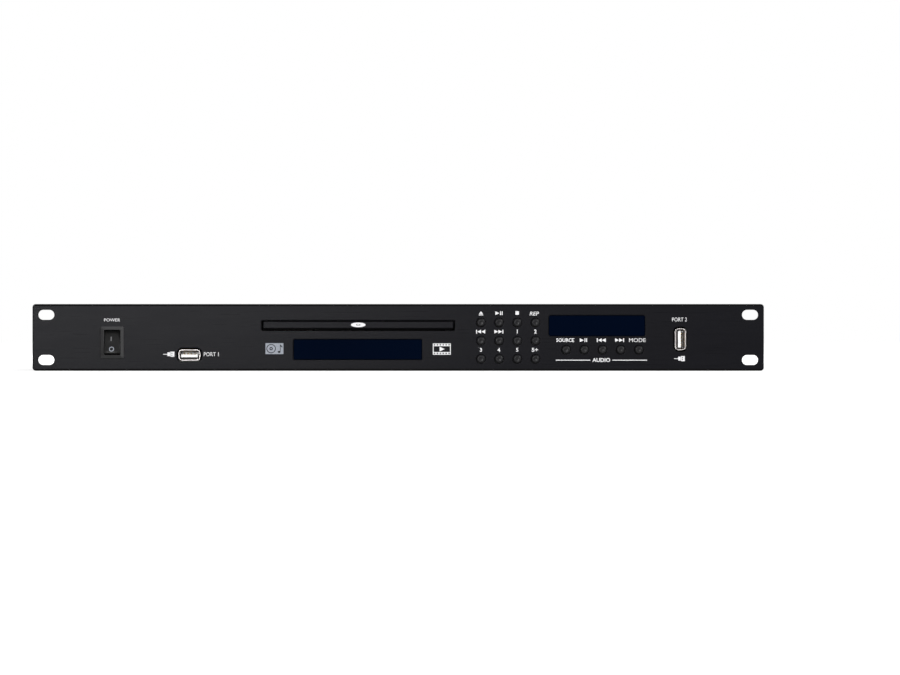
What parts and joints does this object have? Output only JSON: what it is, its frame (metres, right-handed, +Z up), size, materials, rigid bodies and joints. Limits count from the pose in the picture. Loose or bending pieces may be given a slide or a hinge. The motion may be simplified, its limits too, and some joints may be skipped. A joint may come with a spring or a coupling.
{
  "type": "rack disc player",
  "caption": "Rack-mount disc player with a sliding disc tray, keypad, display windows, front USB sockets and a rocker power switch on a black steel case.",
  "frame": {"origin": "middle of the underside of the whole player's box, on the surface that the player stands on", "axes": "+Z up, the front panel faces -Y, +X to the right as seen from the front"},
  "size_m": [0.4826, 0.251, 0.044],
  "materials": {
    "panel_paint": "satin black with a faint sideways grain",
    "case_paint": "fine matt black powder coat",
    "tray_front_plastic": "satin black",
    "black_plastic": "moulded matt black",
    "switch_plastic": "half-gloss black",
    "key_plastic": "half-gloss dark grey",
    "window_acrylic": "gloss navy-black acrylic",
    "display_glass": "dark glass tube",
    "board": "green solder mask",
    "white_plastic": "moulded off-white",
    "plated_steel": "bright plated steel",
    "pickup_metal": "cast, dull",
    "socket_metal": "plated",
    "belt_rubber": "matt",
    "transformer_core": "varnished laminations"
  },
  "bodies": {
    "case": {"front_panel": "panel_paint", "chassis_base": "case_paint", "top_cover": "case_paint", "rear_panel": "case_paint", "loader_frame": "black_plastic", "power_switch_body": "switch_plastic", "mains_inlet": "switch_plastic", "display_window_left": "window_acrylic", "display_window_right": "window_acrylic", "display_tube_left": "display_glass", "display_tube_right": "display_glass", "key_board_left": "board", "key_board_right": "board", "usb_board_left": "board", "usb_board_right": "board", "main_board": "board", "power_board": "board", "usb_tongue_left": "white_plastic", "usb_tongue_right": "white_plastic", "usb_shell_left": "plated_steel", "usb_shell_right": "plated_steel", "tray_motor": "plated_steel", "clamp_bridge": "plated_steel", "aerial_socket": "plated_steel", "audio_sockets": "socket_metal", "drive_belt": "belt_rubber", "transformer": "transformer_core"},
    "tray": {"tray_front": "tray_front_plastic", "disc_tray": "black_plastic"},
    "tray_gear": {"tray_gear": "white_plastic"},
    "pulley_gear": {"pulley_gear": "white_plastic"},
    "motor_pulley": {"motor_pulley": "white_plastic"},
    "traverse": {"traverse_frame": "black_plastic", "spindle_motor": "plated_steel", "guide_rod_left": "plated_steel", "guide_rod_right": "plated_steel", "sled_motor": "plated_steel"},
    "turntable": {"turntable": "black_plastic"},
    "pickup": {"pickup": "pickup_metal"},
    "sled_screw": {"sled_screw": "plated_steel"},
    "cam_slider": {"cam_slider": "white_plastic"},
    "disc_clamp": {"disc_clamp": "black_plastic"},
    "power_rocker": {"power_rocker": "switch_plastic"},
    "key_eject": {"key_eject": "key_plastic"},
    "key_play_pause": {"key_play_pause": "key_plastic"},
    "key_stop": {"key_stop": "key_plastic"},
    "key_repeat": {"key_repeat": "key_plastic"},
    "key_previous": {"key_previous": "key_plastic"},
    "key_next": {"key_next": "key_plastic"},
    "key_one": {"key_one": "key_plastic"},
    "key_two": {"key_two": "key_plastic"},
    "key_three": {"key_three": "key_plastic"},
    "key_four": {"key_four": "key_plastic"},
    "key_five": {"key_five": "key_plastic"},
    "key_five_plus": {"key_five_plus": "key_plastic"},
    "key_source": {"key_source": "key_plastic"},
    "key_audio_play_pause": {"key_audio_play_pause": "key_plastic"},
    "key_audio_previous": {"key_audio_previous": "key_plastic"},
    "key_audio_next": {"key_audio_next": "key_plastic"},
    "key_mode": {"key_mode": "key_plastic"}
  },
  "joints": [
    {"name": "tray_slide", "type": "slide", "parent": "case", "child": "tray", "axis": [0, -1, 0], "range_m": [0, 0.135]},
    {"name": "tray_gear_spin", "type": "hinge", "parent": "case", "child": "tray_gear", "pos_m": [-0.0704, -0.09084, 0.021], "axis": [0, 0, 1], "continuous": true},
    {"name": "pulley_gear_spin", "type": "hinge", "parent": "case", "child": "pulley_gear", "pos_m": [-0.0524, -0.09084, 0.0155], "axis": [0, 0, 1], "continuous": true},
    {"name": "motor_pulley_spin", "type": "hinge", "parent": "case", "child": "motor_pulley", "pos_m": [-0.0144, -0.09084, 0.0155], "axis": [0, 0, 1], "continuous": true},
    {"name": "traverse_lift", "type": "hinge", "parent": "case", "child": "traverse", "pos_m": [-0.0264, 0.03916, 0.02], "axis": [-1, 0, 0], "range_deg": [0, 3.51]},
    {"name": "cam_slide", "type": "slide", "parent": "case", "child": "cam_slider", "axis": [1, 0, 0], "range_m": [0, 0.018]},
    {"name": "turntable_spin", "type": "hinge", "parent": "traverse", "child": "turntable", "pos_m": [-0.0264, -0.04639, 0.02638], "axis": [0, -0.0612, 0.9981], "continuous": true},
    {"name": "pickup_slide", "type": "slide", "parent": "traverse", "child": "pickup", "axis": [0, 0.9981, 0.0612], "range_m": [0, 0.033]},
    {"name": "sled_screw_spin", "type": "hinge", "parent": "traverse", "child": "sled_screw", "pos_m": [0.0031, -0.03417, 0.0117], "axis": [0, 0.9981, 0.0612], "continuous": true},
    {"name": "disc_clamp_spin", "type": "hinge", "parent": "case", "child": "disc_clamp", "pos_m": [-0.0264, -0.04584, 0.0331], "axis": [0, 0, 1], "continuous": true},
    {"name": "power_rocker_tilt", "type": "hinge", "parent": "case", "child": "power_rocker", "pos_m": [-0.1885, -0.12034, 0.0187], "axis": [1, 0, 0], "range_deg": [0, 20]},
    {"name": "key_eject_press", "type": "slide", "parent": "case", "child": "key_eject", "axis": [0, 1, 0], "range_m": [0, 0.0005], "stiffness_N_per_m": 500, "springref_m": -0.0008},
    {"name": "key_play_pause_press", "type": "slide", "parent": "case", "child": "key_play_pause", "axis": [0, 1, 0], "range_m": [0, 0.0005], "stiffness_N_per_m": 500, "springref_m": -0.0008},
    {"name": "key_stop_press", "type": "slide", "parent": "case", "child": "key_stop", "axis": [0, 1, 0], "range_m": [0, 0.0005], "stiffness_N_per_m": 500, "springref_m": -0.0008},
    {"name": "key_repeat_press", "type": "slide", "parent": "case", "child": "key_repeat", "axis": [0, 1, 0], "range_m": [0, 0.0005], "stiffness_N_per_m": 500, "springref_m": -0.0008},
    {"name": "key_previous_press", "type": "slide", "parent": "case", "child": "key_previous", "axis": [0, 1, 0], "range_m": [0, 0.0005], "stiffness_N_per_m": 500, "springref_m": -0.0008},
    {"name": "key_next_press", "type": "slide", "parent": "case", "child": "key_next", "axis": [0, 1, 0], "range_m": [0, 0.0005], "stiffness_N_per_m": 500, "springref_m": -0.0008},
    {"name": "key_one_press", "type": "slide", "parent": "case", "child": "key_one", "axis": [0, 1, 0], "range_m": [0, 0.0005], "stiffness_N_per_m": 500, "springref_m": -0.0008},
    {"name": "key_two_press", "type": "slide", "parent": "case", "child": "key_two", "axis": [0, 1, 0], "range_m": [0, 0.0005], "stiffness_N_per_m": 500, "springref_m": -0.0008},
    {"name": "key_three_press", "type": "slide", "parent": "case", "child": "key_three", "axis": [0, 1, 0], "range_m": [0, 0.0005], "stiffness_N_per_m": 500, "springref_m": -0.0008},
    {"name": "key_four_press", "type": "slide", "parent": "case", "child": "key_four", "axis": [0, 1, 0], "range_m": [0, 0.0005], "stiffness_N_per_m": 500, "springref_m": -0.0008},
    {"name": "key_five_press", "type": "slide", "parent": "case", "child": "key_five", "axis": [0, 1, 0], "range_m": [0, 0.0005], "stiffness_N_per_m": 500, "springref_m": -0.0008},
    {"name": "key_five_plus_press", "type": "slide", "parent": "case", "child": "key_five_plus", "axis": [0, 1, 0], "range_m": [0, 0.0005], "stiffness_N_per_m": 500, "springref_m": -0.0008},
    {"name": "key_source_press", "type": "slide", "parent": "case", "child": "key_source", "axis": [0, 1, 0], "range_m": [0, 0.0005], "stiffness_N_per_m": 500, "springref_m": -0.0008},
    {"name": "key_audio_play_pause_press", "type": "slide", "parent": "case", "child": "key_audio_play_pause", "axis": [0, 1, 0], "range_m": [0, 0.0005], "stiffness_N_per_m": 500, "springref_m": -0.0008},
    {"name": "key_audio_previous_press", "type": "slide", "parent": "case", "child": "key_audio_previous", "axis": [0, 1, 0], "range_m": [0, 0.0005], "stiffness_N_per_m": 500, "springref_m": -0.0008},
    {"name": "key_audio_next_press", "type": "slide", "parent": "case", "child": "key_audio_next", "axis": [0, 1, 0], "range_m": [0, 0.0005], "stiffness_N_per_m": 500, "springref_m": -0.0008},
    {"name": "key_mode_press", "type": "slide", "parent": "case", "child": "key_mode", "axis": [0, 1, 0], "range_m": [0, 0.0005], "stiffness_N_per_m": 500, "springref_m": -0.0008}
  ],
  "couplings": [
    {"joint": "tray_gear_spin", "follows": "tray_slide", "rad_per_m": 83.333},
    {"joint": "pulley_gear_spin", "follows": "tray_slide", "rad_per_m": -166.67},
    {"joint": "motor_pulley_spin", "follows": "tray_slide", "rad_per_m": -488.37},
    {"joint": "cam_slide", "follows": "traverse_lift", "m_per_rad": 0.29405},
    {"joint": "sled_screw_spin", "follows": "pickup_slide", "rad_per_m": 2094.4}
  ]
}
